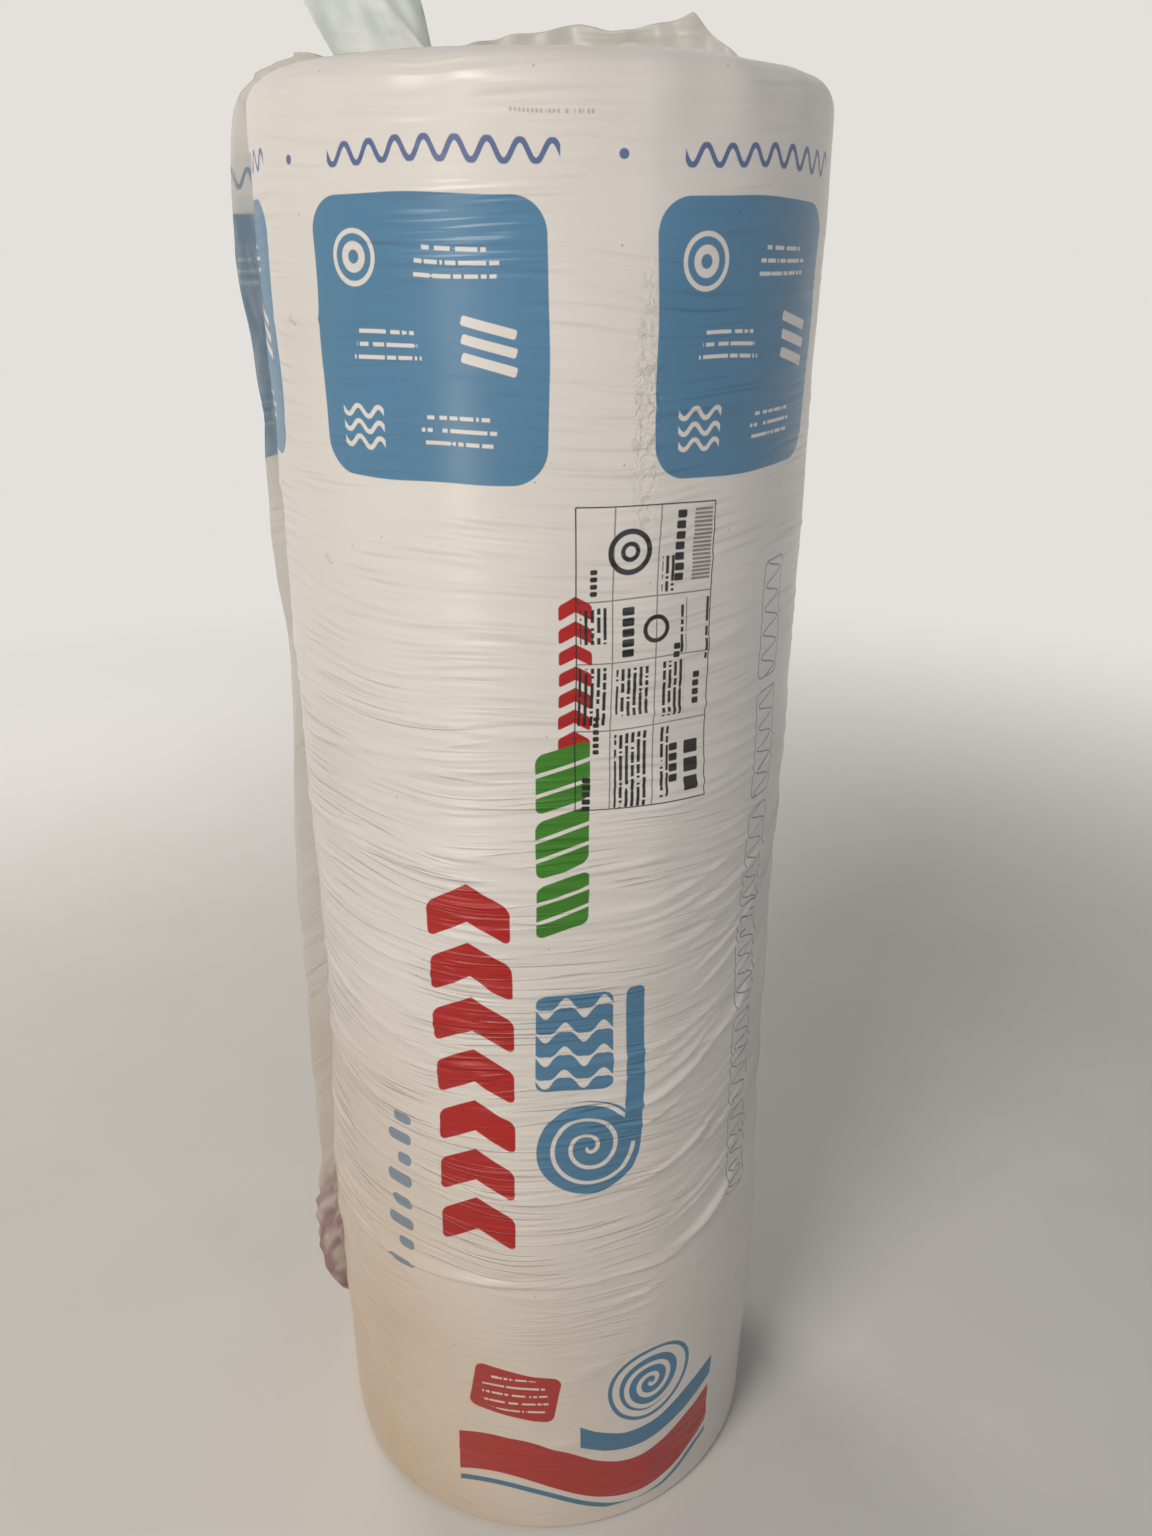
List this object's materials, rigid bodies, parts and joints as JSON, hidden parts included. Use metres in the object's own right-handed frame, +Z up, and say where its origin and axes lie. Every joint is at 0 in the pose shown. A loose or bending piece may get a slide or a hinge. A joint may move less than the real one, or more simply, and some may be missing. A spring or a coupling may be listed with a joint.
{
  "type": "insulation roll",
  "caption": "Tall roll of mineral-wool insulation in a printed polyethylene sleeve, standing on its end, with pleated ends, a loose side lap and a torn strip at the top.",
  "frame": {"origin": "on the roll's axis, on the floor that it stands on", "axes": "+Z up along the roll's axis; -Y towards the front of the print; -X towards the loose lap"},
  "size_m": [0.4311, 0.4, 1.3009],
  "materials": {
    "glass_wool": "matte",
    "printed_film": "satin"
  },
  "bodies": {
    "root": {"wool_roll": "glass_wool", "film_wrap": "printed_film"}
  },
  "joints": []
}
